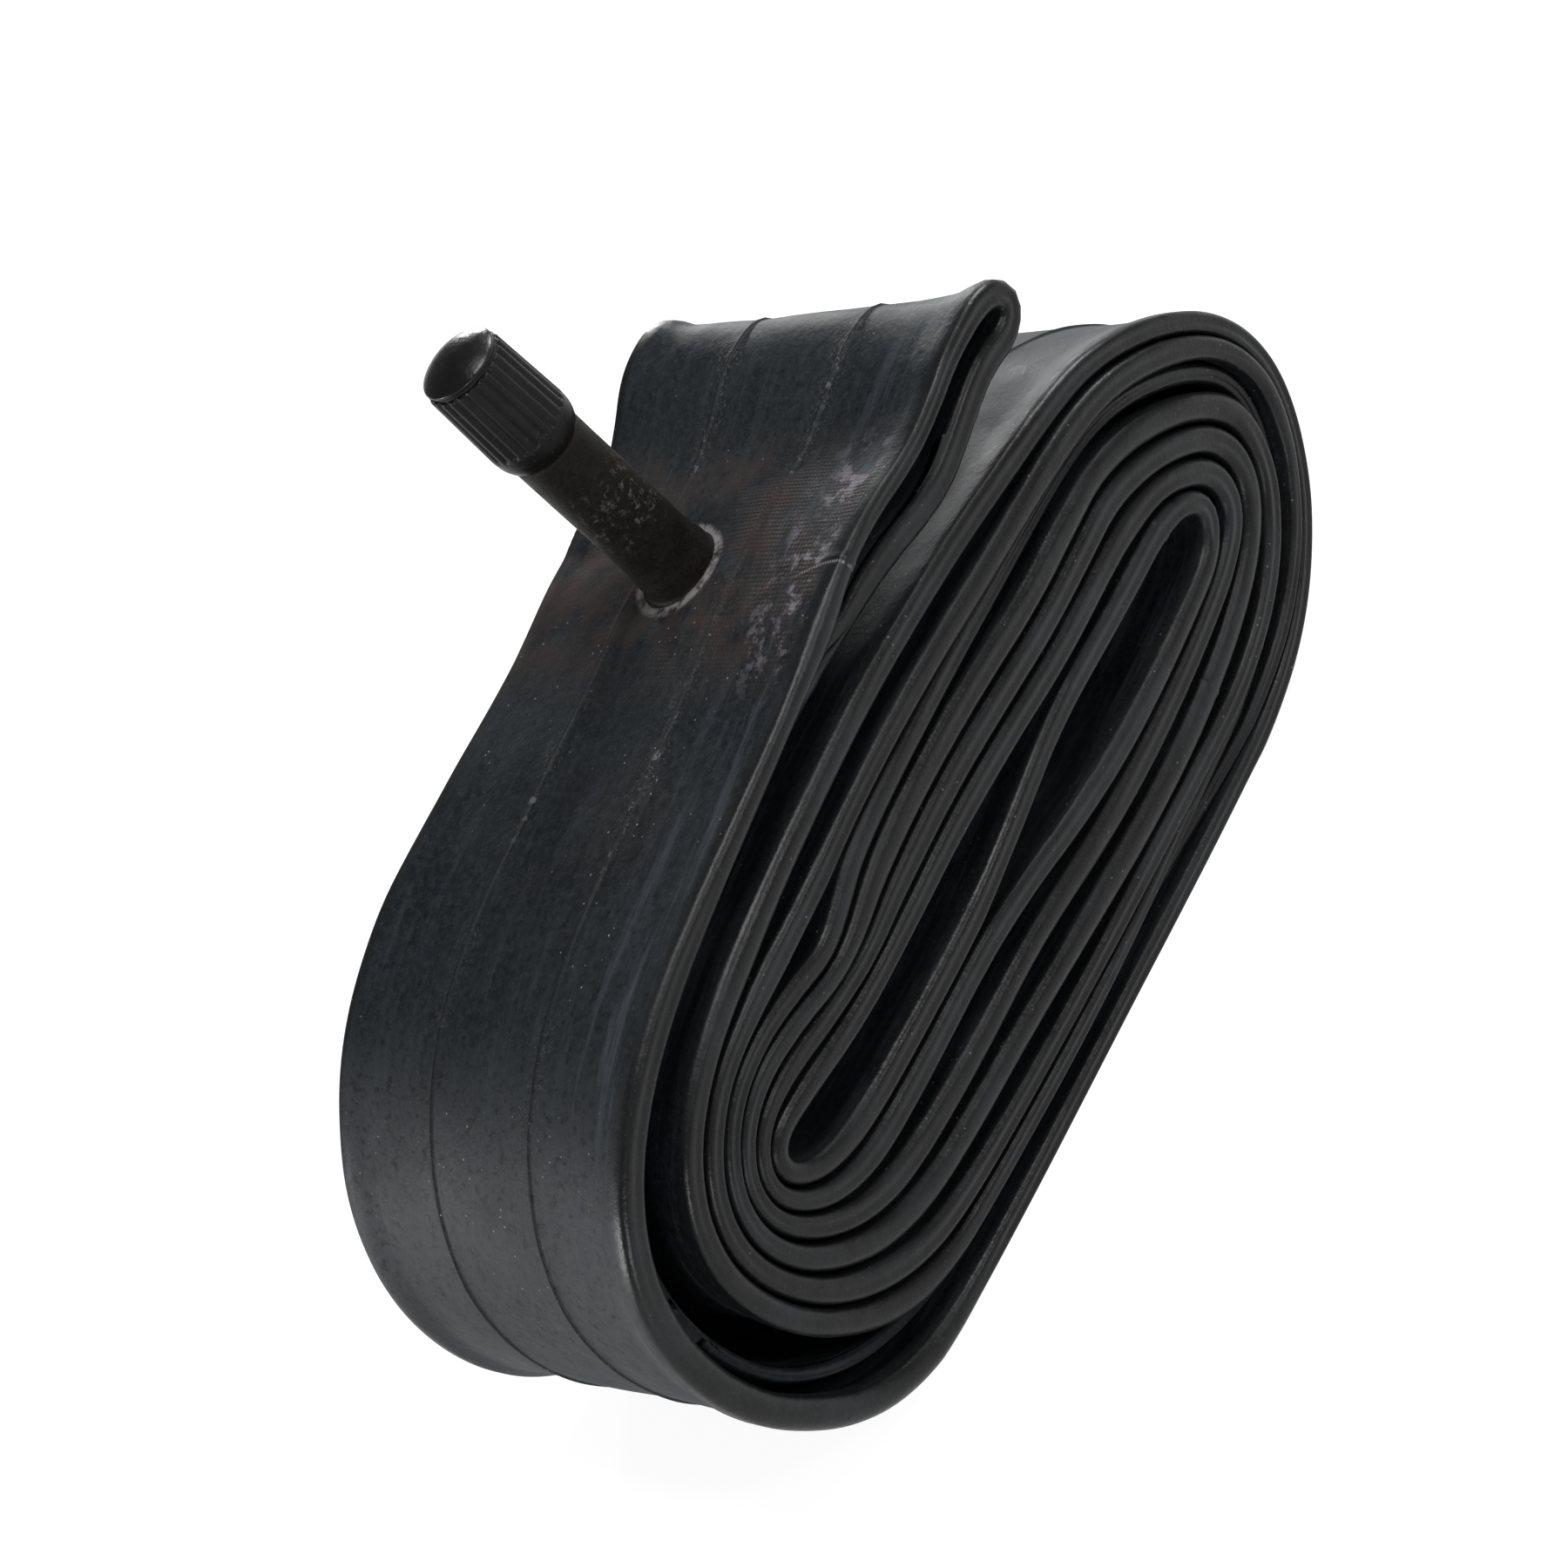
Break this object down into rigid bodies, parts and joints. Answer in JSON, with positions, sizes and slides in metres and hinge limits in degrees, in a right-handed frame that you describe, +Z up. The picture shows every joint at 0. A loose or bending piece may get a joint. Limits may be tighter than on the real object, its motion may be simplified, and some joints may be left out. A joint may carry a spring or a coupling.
{
  "type": "bicycle inner tube",
  "caption": "Flat-folded, rolled rubber inner tube with a rubber-covered car-type valve and screw-on dust cap.",
  "frame": {"origin": "middle of the flat face the roll rests on, half-way across the tube's width", "axes": "+X along the roll's long side towards the folds, +Y along the axis the tube is rolled about, +Z up out of the rest face, roughly along the valve"},
  "size_m": [0.1297, 0.0452, 0.0966],
  "materials": {
    "butyl": "matte black butyl with a soft sheen",
    "stem_rubber": "matte black rubber, slightly worn",
    "brass": "machined",
    "core_brass": "machined",
    "seal_rubber": "matte",
    "core_steel": "drawn wire",
    "cap_plastic": "moulded, glossy dome"
  },
  "bodies": {
    "tube": {"tube_body": "butyl", "valve_rubber": "stem_rubber", "valve_stem": "brass"},
    "core": {"core_barrel": "core_brass", "barrel_seal": "seal_rubber", "pin_spring": "core_steel"},
    "swivel": {"core_swivel": "core_brass"},
    "pin": {"valve_pin": "core_steel", "plunger_cup": "core_brass", "cup_seal": "seal_rubber"},
    "cap": {"dust_cap": "cap_plastic"}
  },
  "joints": [
    {"name": "cap_removal", "type": "slide", "parent": "tube", "child": "cap", "axis": [-0.1253, 0, 0.9921], "range_m": [0, 0.016]},
    {"name": "swivel_turn", "type": "hinge", "parent": "core", "child": "swivel", "pos_m": [0.00555, 0.0021, 0.0623], "axis": [-0.1253, 0, 0.9921], "range_deg": [0, 300]},
    {"name": "core_lift", "type": "slide", "parent": "tube", "child": "core", "axis": [-0.1253, 0, 0.9921], "range_m": [0, 0.00058]},
    {"name": "pin_press", "type": "slide", "parent": "core", "child": "pin", "axis": [0.1253, 0, -0.9921], "range_m": [0, 0.0015], "stiffness_N_per_m": 400, "springref_m": -0.002, "deforming": ["pin_spring"]}
  ],
  "couplings": [
    {"joint": "swivel_turn", "follows": "core_lift", "rad_per_m": 8905.5}
  ]
}
